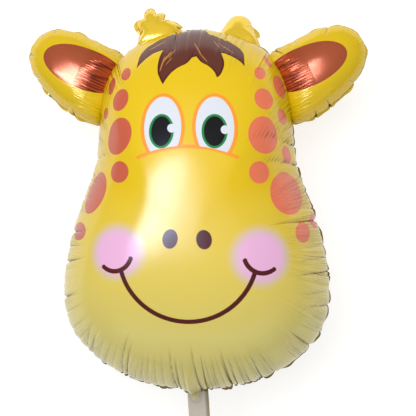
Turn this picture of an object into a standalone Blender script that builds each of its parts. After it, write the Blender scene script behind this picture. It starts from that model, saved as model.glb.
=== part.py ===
"""A giraffe head foil balloon, blown up and lying face up on its back.

The balloon is one sealed envelope: two printed foil sheets welded all round their edge.
Its head, two ears, two horns and filling neck are lobes of that one envelope, so they
are shaped one by one here and then joined into a single solid. Metres, +Z up, the face
looks up, the crown points along +Y and the giraffe's left ear is at +X.
"""

import math

import bmesh
import bpy
from mathutils import Matrix, Vector

# The head: a pear-shaped pillow, wide at the jowls and narrower at the brow.
HEAD_HEIGHT = 0.660
HEAD_WIDTH = 0.486
HEAD_THICKNESS = 0.315
# The outline's right half from crown to chin, as shares of half the width and half the height.
HEAD_OUTLINE = (
    (0.00, 1.000),
    (0.33, 0.940),
    (0.52, 0.845),
    (0.66, 0.690),
    (0.715, 0.470),
    (0.76, 0.240),
    (0.86, 0.030),
    (0.95, -0.180),
    (1.00, -0.410),
    (0.98, -0.590),
    (0.88, -0.735),
    (0.68, -0.865),
    (0.38, -0.965),
    (0.00, -1.000),
)
# The thickest place of the head, as a share of half its height above the middle.
HEAD_BELLY = -0.16
HEAD_PLEATS = 30
HEAD_PLEAT_DEPTH = 0.0050

# The ears: blunt oval pillows that leave the brow sideways and a little upwards.
EAR_LENGTH = 0.181
EAR_WIDTH = 0.142
EAR_THICKNESS = 0.086
# From the upper end of the root round the tip to the lower end, as shares of the length
# and half the width. The tip sits high, so the lower edge is the longer sweep.
EAR_OUTLINE = (
    (0.00, 0.62),
    (0.10, 0.95),
    (0.38, 1.00),
    (0.66, 1.00),
    (0.88, 0.80),
    (1.00, 0.28),
    (0.92, -0.28),
    (0.70, -0.66),
    (0.38, -0.93),
    (0.10, -1.00),
    (0.00, -0.68),
)
# Where the root sits on the head's edge, as a share of half the head's height.
EAR_STATION = 0.66
EAR_LIFT = math.radians(24)
EAR_TIP_FORWARD = math.radians(5)
EAR_PLEATS = 14
EAR_PLEAT_DEPTH = 0.0055

# The horns: short knobbed pillows on the crown, each flopping its own way.
HORN_LENGTH = 0.081
HORN_WIDTH = 0.080
HORN_THICKNESS = 0.050
HORN_OUTLINE = (
    (0.00, 0.66),
    (0.08, 1.00),
    (0.36, 0.84),
    (0.66, 0.66),
    (0.92, 0.42),
    (1.00, 0.00),
    (0.92, -0.42),
    (0.66, -0.66),
    (0.36, -0.84),
    (0.08, -1.00),
    (0.00, -0.66),
)
# Where the root sits on the crown, as a share of half the head's width.
HORN_STATION = 0.305
HORN_SPREAD = {"left": math.radians(3), "right": math.radians(9)}
HORN_TIP_BACK = {"left": math.radians(40), "right": math.radians(12)}
HORN_PLEATS = 8
HORN_PLEAT_DEPTH = 0.0065

# The thickest place of an ear or horn, as a share of its length from the root.
LIMB_BELLY = 0.46

# How far the root of an ear or horn runs in past the head's edge, and the neck's likewise.
ROOT_OVERLAP = 0.019
NECK_OVERLAP = 0.030

# The filling neck: a flat foil tube with a weld along each side and an air channel that ends in it.
NECK_LENGTH = 0.095
NECK_WIDTH = 0.039
NECK_THICKNESS = 0.0024
NECK_WELD = 0.006
NECK_CHANNEL = 0.016
NECK_CHANNEL_REACH = 0.034
NECK_DROOP = math.radians(7)
NECK_LEAN = math.radians(3)

# The welded edge, which stands out flat all round.
WELD_WIDTH = 0.006
WELD_THICKNESS = 0.0024
WELD_WAVE = 0.0016

# How the foil swells from the edge to the middle: a flat top that rounds over into steep sides.
PILLOW_FLATNESS = 3
PILLOW_ROUNDNESS = 0.54

# The pleats that the edge's spare length makes. They start at this share of the way out, and
# each fold's depth is a mean share plus a swing that differs from one pleat to the next.
PLEAT_REACH = 0.55
PLEAT_MEAN = 0.65
PLEAT_SWING = 0.35
PLEAT_RHYTHM = 2.4
PLEAT_DIP = 0.12

# The patch that the balloon rests on, pressed flat by this much.
REST_PRESS = 0.002

# How finely each lobe is faceted: facets to a pleat, and rings from edge to edge over the top.
FACETS_PER_PLEAT = 4
HEAD_RINGS = 24
EAR_RINGS = 14
HORN_RINGS = 12
NECK_STEPS = 12


def clear_scene():
    for obj in list(bpy.data.objects):
        bpy.data.objects.remove(obj)


def printed_foil():
    """Satin yellow ink over silver foil."""
    material = bpy.data.materials.new("foil")
    material.use_nodes = True
    shader = material.node_tree.nodes["Principled BSDF"]
    shader.inputs["Base Color"].default_value = (0.80, 0.58, 0.05, 1.0)
    shader.inputs["Metallic"].default_value = 0.6
    shader.inputs["Roughness"].default_value = 0.3
    return material


def spline_point(before, start, end, after, t):
    """A point of the Catmull-Rom curve between start and end."""
    return 0.5 * (
        2 * start
        + (end - before) * t
        + (2 * before - 5 * start + 4 * end - after) * t * t
        + (3 * start - before - 3 * end + after) * t**3
    )


def closed_curve(points, steps=24):
    """A smooth closed curve through the points, as a polyline."""
    count = len(points)
    curve = []
    for i in range(count):
        span = [points[(i + k) % count] for k in (-1, 0, 1, 2)]
        curve += [spline_point(*span, step / steps) for step in range(steps)]
    return curve


def even_points(curve, count):
    """Evenly spaced points along a closed polyline."""
    reach = [0.0]
    for i, point in enumerate(curve):
        reach.append(reach[-1] + (curve[(i + 1) % len(curve)] - point).length)
    found = []
    i = 0
    for k in range(count):
        wanted = reach[-1] * k / count
        while reach[i + 1] < wanted:
            i += 1
        share = (wanted - reach[i]) / (reach[i + 1] - reach[i])
        found.append(curve[i].lerp(curve[(i + 1) % len(curve)], share))
    return found


def head_curve():
    """The head's weld line, anticlockwise from the crown."""
    right = [Vector((x * HEAD_WIDTH / 2, y * HEAD_HEIGHT / 2)) for x, y in HEAD_OUTLINE]
    left = [Vector((-p.x, p.y)) for p in right[1:-1]]
    return closed_curve([right[0], *left, right[-1], *reversed(right[1:-1])])


def limb_curve(outline, length, width):
    """An ear's or horn's weld line, from its root at the origin out along +X."""
    points = [Vector((x * length, y * width / 2)) for x, y in outline]
    return closed_curve(list(reversed(points)))


def head_edge(station, axis):
    """The point of the head's edge, right of its middle line and above its middle, that is
    this share of the way out along X (axis 0) or up along Y (axis 1)."""
    full = (HEAD_WIDTH / 2, HEAD_HEIGHT / 2)[axis]
    upper_right = [p for p in head_curve() if p.x > 0 and p.y > 0]
    return min(upper_right, key=lambda p: abs(p[axis] - station * full))


def pillow_height(share):
    """How high a foil pillow stands at a share of the way from its middle to its edge."""
    return max(0.0, 1.0 - share**PILLOW_FLATNESS) ** PILLOW_ROUNDNESS


def pleat_notch(station):
    """How deep the edge is drawn in at a station, from 0 on a pleat's crest to 1 in its fold.

    No two neighbouring folds are alike: some are tucked in deep and some hardly show.
    """
    pleat = round(station / FACETS_PER_PLEAT)
    fold = (1 - abs(math.sin(math.pi * station / FACETS_PER_PLEAT))) ** 2
    return fold * (PLEAT_MEAN + PLEAT_SWING * math.sin(PLEAT_RHYTHM * pleat))


def foil_lobe(name, curve, middle, thickness, pleats, pleat_depth, rings):
    """A pillow over the weld line, pleated where its edge has length to spare.

    A sphere gives the net: its equator becomes the welded edge's rim, the next ring on
    each side the weld line, and the rest the front and back of the pillow.
    """
    count = pleats * FACETS_PER_PLEAT
    rim = even_points(curve, count)
    net = bmesh.new()
    bmesh.ops.create_uvsphere(net, u_segments=count, v_segments=rings, radius=1.0)
    for vertex in net.verts:
        latitude = math.asin(max(-1.0, min(1.0, vertex.co.z)))
        ring = round(abs(latitude) / math.pi * rings)
        side = math.copysign(1.0, latitude)
        around = math.atan2(vertex.co.y, vertex.co.x) / (2 * math.pi) * count
        station = round(around) % count
        notch = pleat_notch(station)
        wave = WELD_WAVE * math.sin(math.pi * station / FACETS_PER_PLEAT)
        spoke = rim[station] - middle
        if ring == 0:
            reach = spoke.length + WELD_WIDTH - pleat_depth * notch
            height = wave
        else:
            share = math.cos((ring - 1) / (rings / 2 - 1) * math.pi / 2)
            fade = max(0.0, (share - PLEAT_REACH) / (1 - PLEAT_REACH)) ** 2
            reach = share * spoke.length - fade * pleat_depth * notch
            body = thickness / 2 * pillow_height(share) * (1 - PLEAT_DIP * fade * notch)
            height = side * max(body, WELD_THICKNESS / 2) + wave * fade
        place = middle + spoke.normalized() * reach
        vertex.co = (place.x, place.y, height)
    return finish_mesh(name, net)


def finish_mesh(name, net):
    bmesh.ops.recalc_face_normals(net, faces=net.faces)
    mesh = bpy.data.meshes.new(name)
    net.to_mesh(mesh)
    net.free()
    obj = bpy.data.objects.new(name, mesh)
    bpy.context.scene.collection.objects.link(obj)
    return obj


def make_head():
    middle = Vector((0.0, HEAD_BELLY * HEAD_HEIGHT / 2))
    return foil_lobe(
        "giraffe_balloon",
        head_curve(),
        middle,
        HEAD_THICKNESS,
        HEAD_PLEATS,
        HEAD_PLEAT_DEPTH,
        HEAD_RINGS,
    )


def make_ear(side):
    """An ear, its root tucked in past the head's edge."""
    ear = foil_lobe(
        "ear_" + side,
        limb_curve(EAR_OUTLINE, EAR_LENGTH, EAR_WIDTH),
        Vector((EAR_LENGTH * LIMB_BELLY, 0.0)),
        EAR_THICKNESS,
        EAR_PLEATS,
        EAR_PLEAT_DEPTH,
        EAR_RINGS,
    )
    edge = head_edge(EAR_STATION, axis=1)
    place = (
        Matrix.Translation((edge.x - ROOT_OVERLAP, edge.y, 0.0))
        @ Matrix.Rotation(EAR_LIFT, 4, "Z")
        @ Matrix.Rotation(-EAR_TIP_FORWARD, 4, "Y")
    )
    put(ear, place, side)
    return ear


def make_horn(side):
    """A horn, its root tucked in past the crown."""
    horn = foil_lobe(
        "horn_" + side,
        limb_curve(HORN_OUTLINE, HORN_LENGTH, HORN_WIDTH),
        Vector((HORN_LENGTH * LIMB_BELLY, 0.0)),
        HORN_THICKNESS,
        HORN_PLEATS,
        HORN_PLEAT_DEPTH,
        HORN_RINGS,
    )
    edge = head_edge(HORN_STATION, axis=0)
    place = (
        Matrix.Translation((edge.x, edge.y - ROOT_OVERLAP, 0.0))
        @ Matrix.Rotation(math.pi / 2 - HORN_SPREAD[side], 4, "Z")
        @ Matrix.Rotation(HORN_TIP_BACK[side], 4, "Y")
    )
    put(horn, place, side)
    return horn


def put(obj, place, side):
    """Places a limb made for the +X side, or its mirror image for the other."""
    if side == "right":
        place = Matrix.Diagonal((-1, 1, 1, 1)) @ place
    obj.data.transform(place)
    if side == "right":
        obj.data.flip_normals()


def neck_section(along):
    """The neck's outline across, at a distance from its inner end."""
    half = NECK_WIDTH / 2
    flat = NECK_THICKNESS / 2
    beyond = (along - NECK_OVERLAP) / NECK_CHANNEL_REACH
    swell = math.sqrt(max(0.0, 1 - max(0.0, beyond) ** 2))
    rise = max(0.0, NECK_CHANNEL / 2 - flat) * swell
    inner = half - NECK_WELD
    channel = [inner * math.sin(math.pi / 2 * k / 3) for k in range(-3, 4)]
    spots = [-half, *channel, half]
    top = [(x, flat + rise * math.sqrt(max(0.0, 1 - (x / inner) ** 2))) for x in spots]
    return top + [(x, -z) for x, z in reversed(top)]


def make_neck():
    """The filling neck, hanging a little below the weld's plane and leaning to one side."""
    net = bmesh.new()
    length = NECK_OVERLAP + NECK_LENGTH
    loops = []
    for step in range(NECK_STEPS + 1):
        along = length * step / NECK_STEPS
        section = neck_section(along)
        loops.append([net.verts.new((x, -along, z)) for x, z in section])
    for near, far in zip(loops, loops[1:]):
        for i in range(len(near)):
            j = (i + 1) % len(near)
            net.faces.new((near[i], near[j], far[j], far[i]))
    net.faces.new(loops[0])
    net.faces.new(loops[-1])
    neck = finish_mesh("neck", net)
    chin = -HEAD_HEIGHT / 2 + NECK_OVERLAP
    neck.data.transform(
        Matrix.Translation((0.0, chin, 0.0))
        @ Matrix.Rotation(NECK_LEAN, 4, "Z")
        @ Matrix.Rotation(NECK_DROOP, 4, "X")
    )
    return neck


def join(body, limbs):
    """Welds the limbs into the body, which then is one solid."""
    for limb in limbs:
        limb.hide_render = True
        limb.display_type = "WIRE"
        union = body.modifiers.new("weld " + limb.name, "BOOLEAN")
        union.operation = "UNION"
        union.object = limb


def rest_on_floor(body, limbs):
    """Presses the back flat where it rests and puts that patch on the floor, under the middle."""
    floor = -HEAD_THICKNESS / 2 + REST_PRESS
    for vertex in body.data.vertices:
        vertex.co.z = max(vertex.co.z, floor)
    points = [v.co for obj in (body, *limbs) for v in obj.data.vertices]
    middle = [(min(p[i] for p in points) + max(p[i] for p in points)) / 2 for i in (0, 1)]
    for obj in (body, *limbs):
        obj.data.transform(Matrix.Translation((-middle[0], -middle[1], -floor)))


def main():
    clear_scene()
    head = make_head()
    limbs = [make_ear("left"), make_ear("right"), make_horn("left"), make_horn("right")]
    limbs.append(make_neck())
    rest_on_floor(head, limbs)
    join(head, limbs)
    head.data.materials.append(printed_foil())
    head.data.shade_smooth()


main()
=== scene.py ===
# %% [markdown]
# # A giraffe foil balloon
# The real thing is two sheets of printed metal foil, welded round their edge and blown up.
# Foil can't stretch, so as the middle swells the edge has length to spare and gathers into
# pleats. We model the swollen sheets, pleat them, print the face in the foil's own flat
# coordinates, and light them with soft boxes.

# %% Load the frame
import functools
import math
import random

import bmesh
import bpy
import numpy as np
from mathutils import Matrix, Vector
from mathutils.bvhtree import BVHTree
from mathutils.interpolate import poly_3d_calc


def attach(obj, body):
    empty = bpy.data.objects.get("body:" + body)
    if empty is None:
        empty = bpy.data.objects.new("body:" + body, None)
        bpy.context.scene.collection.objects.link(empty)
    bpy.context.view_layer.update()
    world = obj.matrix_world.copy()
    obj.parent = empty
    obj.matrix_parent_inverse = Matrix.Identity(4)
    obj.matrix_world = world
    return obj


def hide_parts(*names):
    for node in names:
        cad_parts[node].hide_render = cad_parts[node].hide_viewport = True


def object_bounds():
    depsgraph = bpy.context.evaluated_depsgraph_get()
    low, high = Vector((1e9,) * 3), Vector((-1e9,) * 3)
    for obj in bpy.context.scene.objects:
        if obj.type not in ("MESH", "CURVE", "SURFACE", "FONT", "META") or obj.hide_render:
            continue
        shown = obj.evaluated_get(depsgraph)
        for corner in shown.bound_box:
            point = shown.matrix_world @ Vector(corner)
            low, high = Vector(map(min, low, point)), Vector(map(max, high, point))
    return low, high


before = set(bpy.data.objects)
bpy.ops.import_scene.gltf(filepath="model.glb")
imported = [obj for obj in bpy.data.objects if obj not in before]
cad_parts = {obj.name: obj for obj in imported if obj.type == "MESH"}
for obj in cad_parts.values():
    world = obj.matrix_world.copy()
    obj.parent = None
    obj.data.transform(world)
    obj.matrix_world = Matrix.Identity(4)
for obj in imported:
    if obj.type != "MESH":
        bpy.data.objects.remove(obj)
cad_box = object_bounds()

# %% [markdown]
# ## The camera
# The photograph is taken straight at the face from a few degrees to the giraffe's left. The
# balloon lies on its back here, so the camera looks down. It comes first because the print is
# measured in the photograph and put on the foil by looking through this camera.

# %% Set up the camera
PHOTO_PIXELS = 416
METRES_PER_PIXEL = 0.001857
CAMERA_DISTANCE = 2.4
CAMERA_YAW = math.radians(5)
SENSOR_MM = 36.0
SEAM_HEIGHT = 0.1555


def add_object(name, data):
    """A new object in the scene."""
    thing = bpy.data.objects.new(name, data)
    bpy.context.scene.collection.objects.link(thing)
    return thing


camera_data = bpy.data.cameras.new("camera")
camera_data.sensor_width = SENSOR_MM
camera_data.lens = SENSOR_MM * CAMERA_DISTANCE / (PHOTO_PIXELS * METRES_PER_PIXEL)
camera = add_object("camera", camera_data)
HEAD_MIDDLE = Vector((0.0, 0.0236, SEAM_HEIGHT))
HEAD_MIDDLE_PIXEL = (196.5, 209.5)
aim = HEAD_MIDDLE + METRES_PER_PIXEL * Vector(
    (PHOTO_PIXELS / 2 - HEAD_MIDDLE_PIXEL[0], HEAD_MIDDLE_PIXEL[1] - PHOTO_PIXELS / 2, 0.0)
)
camera.matrix_world = (
    Matrix.Translation(aim)
    @ Matrix.Rotation(CAMERA_YAW, 4, "Y")
    @ Matrix.Translation((0.0, 0.0, CAMERA_DISTANCE))
)
bpy.context.scene.camera = camera
print("camera with a lens of", round(camera_data.lens, 1), "mm")


def pixel_ray(x, y):
    """The camera's ray through a pixel of the photograph."""
    right = (x - PHOTO_PIXELS / 2) * METRES_PER_PIXEL
    up = (PHOTO_PIXELS / 2 - y) * METRES_PER_PIXEL
    start = camera.matrix_world.translation
    through = camera.matrix_world @ Vector((right, up, -CAMERA_DISTANCE))
    return start, (through - start).normalized()


# %% [markdown]
# ## The outlines
# The flat pattern decides everything about a foil balloon. The head is a pear, the ears are
# blunt ovals and the horns short knobs. Each outline is a smooth closed curve through a few
# points, as shares of the lobe's own size, so one number resizes a lobe.

# %% The weld lines of the head, ears and horns
# Each outline's points are (across, up) for the head and (along, across) for the others.
HEAD_HEIGHT = 0.660
HEAD_WIDTH = 0.486
HEAD_THICKNESS = 0.315
HEAD_OUTLINE = (
    (0.00, 1.000), (0.34, 0.950), (0.56, 0.850), (0.69, 0.690), (0.725, 0.470), (0.76, 0.240),
    (0.86, 0.030), (0.95, -0.180), (1.00, -0.410), (0.98, -0.590), (0.88, -0.735), (0.68, -0.865),
    (0.38, -0.965), (0.00, -1.000),
)
# The head swells most below its middle, and an ear or a horn nearer to its root.
HEAD_BELLY = -0.16

EAR_LENGTH = 0.177
EAR_WIDTH = 0.138
EAR_THICKNESS = 0.086
EAR_OUTLINE = (
    (0.00, 0.62), (0.10, 0.95), (0.38, 1.00), (0.66, 1.00), (0.88, 0.80), (1.00, 0.28),
    (0.92, -0.28), (0.70, -0.66), (0.38, -0.93), (0.10, -1.00), (0.00, -0.68),
)
HORN_LENGTH = 0.081
HORN_WIDTH = 0.080
HORN_THICKNESS = 0.050
HORN_OUTLINE = (
    (0.00, 0.66), (0.08, 1.00), (0.36, 0.84), (0.66, 0.66), (0.92, 0.42), (1.00, 0.00),
    (0.92, -0.42), (0.66, -0.66), (0.36, -0.84), (0.08, -1.00), (0.00, -0.66),
)
CRUMPLED_HORN_OUTLINE = (
    (0.00, 0.66), (0.10, 1.12), (0.38, 1.24), (0.53, 1.02), (0.64, 0.74), (0.63, 0.46),
    (0.76, 0.55), (0.83, 0.42), (0.84, 0.20), (0.94, 0.08), (0.95, -0.16), (0.88, -0.38),
    (0.76, -0.42), (0.74, -0.64), (0.61, -0.74), (0.42, -0.62), (0.18, -0.84), (0.06, -0.96),
    (0.00, -0.66),
)
LIMB_BELLY = 0.46
CURVE_STEPS = 60  # between two points of an outline


def spline_point(before, start, end, after, t):
    """A point of the Catmull-Rom curve between start and end."""
    return 0.5 * (
        2 * start
        + (end - before) * t
        + (2 * before - 5 * start + 4 * end - after) * t * t
        + (3 * start - before - 3 * end + after) * t**3
    )


def closed_curve(points):
    """A smooth closed curve through the points, as a fine polyline."""
    count = len(points)
    curve = []
    for i in range(count):
        span = [points[(i + k) % count] for k in (-1, 0, 1, 2)]
        curve += [spline_point(*span, step / CURVE_STEPS) for step in range(CURVE_STEPS)]
    return curve


def walk_round(curve, turns):
    """Points along a closed polyline, for these shares of the way round, and its length."""
    path = np.array([tuple(p) for p in curve + curve[:1]])
    steps = np.linalg.norm(np.diff(path, axis=0), axis=1)
    reach = np.concatenate([[0.0], np.cumsum(steps)])
    wanted = np.asarray(turns) * reach[-1]
    return np.stack([np.interp(wanted, reach, path[:, k]) for k in (0, 1)], axis=1), reach[-1]


def head_curve():
    """The head's weld line, anticlockwise from the crown."""
    right = [Vector((x * HEAD_WIDTH / 2, y * HEAD_HEIGHT / 2)) for x, y in HEAD_OUTLINE]
    left = [Vector((-p.x, p.y)) for p in right[1:-1]]
    return closed_curve([right[0], *left, right[-1], *reversed(right[1:-1])])


def limb_curve(outline, length, width):
    """An ear's or horn's weld line, from its root at the origin out along +X."""
    points = [Vector((x * length, y * width / 2)) for x, y in outline]
    return closed_curve(list(reversed(points)))


def head_edge(station, axis):
    """The head's edge, upper right, this share of the way out along X (0) or up along Y (1)."""
    full = (HEAD_WIDTH / 2, HEAD_HEIGHT / 2)[axis]
    upper_right = [p for p in head_curve() if p.x > 0 and p.y > 0]
    return min(upper_right, key=lambda p: abs(p[axis] - station * full))


# %% [markdown]
# ## The creases in the photograph
# A pleat is a valley pressed into the foil, sharp at its bottom and round on its shoulders. It
# is deepest at the weld and runs out towards the middle. A few pleats reach far in, and those
# are the creases that catch the light. On the head these, and the groups of finer ones beside
# them, are where the photograph shows them. Each pleat is five numbers: where it sits round
# the weld, how far out it starts, its depth, its width and how it leans.

# %% Measure the head's creases
CREASE_WIDTH = 0.0022
CREASE_LEAD = 0.05  # how much further in a crease starts than it shows
RIM_STOPS = 4000
# Each long crease runs from a pixel at the weld to a pixel further in.
LONG_CREASES = (
    ((88, 350), (98, 325)), ((93, 354), (104, 330)), ((126, 370), (136, 333)),
    ((130, 373), (139, 342)), ((179, 388), (177, 346)), ((183, 388), (182, 358)),
    ((203, 389), (198, 341)), ((209, 389), (207, 352)), ((234, 386), (226, 347)),
    ((239, 385), (233, 354)), ((263, 377), (253, 349)), ((309, 344), (296, 331)),
    ((329, 305), (313, 303)), ((327, 271), (302, 272)), ((306, 222), (276, 224)),
    ((296, 167), (263, 163)), ((293, 148), (255, 141)), ((66, 297), (83, 291)),
    ((70, 262), (89, 257)), ((76, 232), (92, 230)), ((98, 160), (116, 156)),
)
# Finer ones beside them, in the groups that the photograph shows.
FINE_CREASES = (
    ((100, 361), (110, 338)), ((108, 364), (118, 340)), ((115, 368), (125, 342)),
    ((146, 378), (151, 349)), ((152, 381), (156, 351)), ((160, 384), (162, 354)),
    ((168, 386), (169, 351)), ((189, 388), (188, 356)), ((214, 389), (210, 354)),
    ((221, 388), (216, 350)), ((228, 387), (221, 354)), ((246, 383), (239, 352)),
    ((252, 381), (244, 354)), ((258, 379), (249, 352)), ((275, 371), (264, 351)),
    ((318, 330), (303, 321)), ((331, 290), (306, 291)), ((330, 257), (301, 259)),
    ((326, 245), (298, 247)), ((318, 207), (288, 209)), ((311, 190), (283, 190)),
    ((302, 176), (272, 174)), ((290, 140), (262, 133)), ((72, 310), (88, 302)),
    ((78, 326), (93, 315)), ((83, 338), (97, 324)), ((72, 247), (88, 244)),
    ((86, 200), (100, 197)), ((92, 178), (106, 175)), ((181, 33), (182, 52)),
    ((190, 33), (190, 54)), ((203, 34), (202, 52)), ((222, 38), (219, 54)),
)


def pixel_on_head(x, y):
    """Where a pixel's ray crosses the plane of the weld, seen from the head's middle."""
    start, way = pixel_ray(x, y)
    crossing = start + way * ((SEAM_HEIGHT - start.z) / way.z)
    return (crossing - HEAD_MIDDLE).xy


# Where the head runs into the filling neck the foil stands up in a ridge, a pleat turned over.
FUNNEL_PIXELS = ((193, 389), (193, 372))
FUNNEL_DEPTH = -0.012
FUNNEL_WIDTH = 0.011


def creases_on_head(depth, fine_depth, middle):
    """The photograph's creases as pleats, and the funnel into the neck as a ridge."""
    stops = np.linspace(0.0, 1.0, RIM_STOPS, endpoint=False)
    rim, _ = walk_round(head_curve(), stops)
    spokes = rim - np.array(middle)
    angles = np.arctan2(spokes[:, 1], spokes[:, 0])
    creases = []
    for weld_end, inner_end in (*LONG_CREASES, *FINE_CREASES, FUNNEL_PIXELS):
        size = depth if (weld_end, inner_end) in LONG_CREASES else fine_depth
        turns = []
        for pixel in (weld_end, inner_end):
            away = pixel_on_head(*pixel) - Vector(middle)
            turned = angles - math.atan2(away.y, away.x)
            apart = np.abs((turned + math.pi) % (2 * math.pi) - math.pi)
            at = int(np.argmin(apart))
            turns.append(stops[at])
            share = away.length / np.linalg.norm(spokes[at])
        lean = (turns[0] - turns[1]) / (1 - share)
        creases.append((turns[0], share - CREASE_LEAD, size, CREASE_WIDTH, lean))
    turn, start, _, _, lean = creases.pop()
    return creases + [(turn, start, FUNNEL_DEPTH, FUNNEL_WIDTH, lean)]


print(len(LONG_CREASES), "long and", len(FINE_CREASES), "fine creases measured")

# %% [markdown]
# ## The other pleats
# Between the long creases most pleats are short and shallow, and no two are alike. They come
# from a seeded random generator, so they are the same every time. Where a crease is sharp the
# mesh gets more vertices, and it leaves a mark in the `fold` map, where painted shade darkens
# its bottom.

# %% Draw the other pleats
SHORT_PLEAT_WIDTH = 0.30  # as a share of the spacing
# The ranges that the random pleats are drawn from.
PLEAT_JITTER, PLEAT_LEAN = 0.32, 0.010
LONG_START, LONG_DEPTH = (0.74, 0.88), (0.6, 1.1)
SHORT_START, SHORT_DEPTH = (0.78, 0.92), (0.08, 0.42)


def draw_pleats(seed, length, spacing, depth, long_share):
    """Random pleats round a weld of this length: (turn, start, depth, width, lean) each."""
    dice = random.Random(seed)
    count = round(length / spacing)
    pleats = []
    for i in range(count):
        turn = (i + dice.uniform(-PLEAT_JITTER, PLEAT_JITTER)) / count
        lean = dice.uniform(-PLEAT_LEAN, PLEAT_LEAN)
        if dice.random() < long_share:
            starts, sizes, width = LONG_START, LONG_DEPTH, CREASE_WIDTH
        else:
            starts, sizes, width = SHORT_START, SHORT_DEPTH, SHORT_PLEAT_WIDTH * spacing
        start = dice.uniform(*starts)
        pleats.append((turn, start, dice.uniform(*sizes) * depth, width, lean))
    return pleats


CROWD_STEPS = 20001
CREASE_CROWDING = 5.0  # how many times more stations a crease gets
CROWD_REACH = 1.4  # and over how many of its own widths


def crowded_turns(pleats, length, count):
    """Shares of the way round the weld, closer together where a crease needs the detail."""
    fine = np.linspace(0.0, 1.0, CROWD_STEPS)
    crowd = np.ones_like(fine)
    for place, _, _, width, _ in pleats:
        if width > CREASE_WIDTH:
            continue
        away = (fine - place + 0.5) % 1.0 - 0.5
        crowd += CREASE_CROWDING * np.exp(-((away * length / (CROWD_REACH * width)) ** 2))
    reach = np.concatenate([[0.0], np.cumsum((crowd[1:] + crowd[:-1]) / 2)])
    return np.interp(np.arange(count) / count, reach / reach[-1], fine)


PLEAT_FADE, PLEAT_SHARPNESS = 1.1, 1.15
FOLD_LINE = 0.5  # as a share of the crease's width
FOLD_RISE = 2.5
FULL_FOLD = 0.0060  # a crease this deep has a fully dark bottom
LEAST_SHARE = 0.05


def pleat_field(pleats, turns, shares, length):
    """How deep the foil is pressed in and how sharply folded, by turn and share of the way out."""
    turn = turns[:, None]
    share = shares[None, :]
    depth = np.zeros((len(turns), len(shares)))
    folded = np.zeros_like(depth)
    for place, start, size, width, lean in pleats:
        away = (turn - place + lean * (1 - share) + 0.5) % 1.0 - 0.5
        metres = np.abs(away) * length * np.maximum(share, LEAST_SHARE)
        fade = np.clip((share - start) / (1 - start), 0.0, 1.0) ** PLEAT_FADE
        depth += size * fade * np.exp(-((metres / width) ** PLEAT_SHARPNESS))
        if width <= CREASE_WIDTH:
            line = np.exp(-((metres / (FOLD_LINE * width)) ** 2))
            sharp = np.clip(size / FULL_FOLD, 0.0, 1.0)
            folded += sharp * np.minimum(FOLD_RISE * fade, 1.0) * line
    return depth, np.minimum(folded, 1.0)


# %% [markdown]
# ## One lobe of the envelope
# A sphere's net is the right starting mesh: rings of quads that close to a pole on each side.
# Its equator becomes the rim of the welded edge, the next ring the weld, and the rest the two
# sheets, flat on top and rounded over into steep sides. The weld is a flange that flutters.
# We also keep three maps. `flat` is where a point of the foil lay before it was blown up, in
# metres along the foil, and the print is drawn on it. `disc` holds the direction and the
# share of the way out, for the finest creases. `fold` says how sharp a fold is.

# %% Make a lobe from a sphere's net
FRONT_PRINT, BACK_PRINT, EAR_FRONT, PLAIN_FOIL, NECK_FOIL = range(5)
MAPS = ("flat", "disc", "fold")
PILLOW_FLATNESS = 3
PILLOW_ROUNDNESS = 0.54
WELD_WIDTH, WELD_HALF = 0.0048, 0.0005
RIM_FLUTTER = 0.0022
FLUTTER_DENT = 0.004  # a pleat this deep lifts the rim all the way
# How much the weld wavers, in how many waves and groups of them a metre, and how much wider
# it is at a lobe's foot.
WELD_WAVER = 0.50
WELD_WAVES, WELD_GROUPS = 21, 5
WELD_AT_FOOT = 0.75
OVERHANG = 0.0048
OVERHANG_HEIGHT = 0.15  # as a share of half the thickness
THICK_LOBE = 0.1  # a lobe this thick has the full overhang


def pillow_height(share):
    """How high a foil pillow stands at a share of the way from its middle to its edge."""
    return np.maximum(0.0, 1.0 - share**PILLOW_FLATNESS) ** PILLOW_ROUNDNESS


def overhang(height, thickness):
    """How far the sheet swells out past the weld, a little above it."""
    part = height / (thickness / 2 * OVERHANG_HEIGHT)
    return OVERHANG * min(1.0, thickness / THICK_LOBE) * part * np.exp(1 - part)


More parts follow.
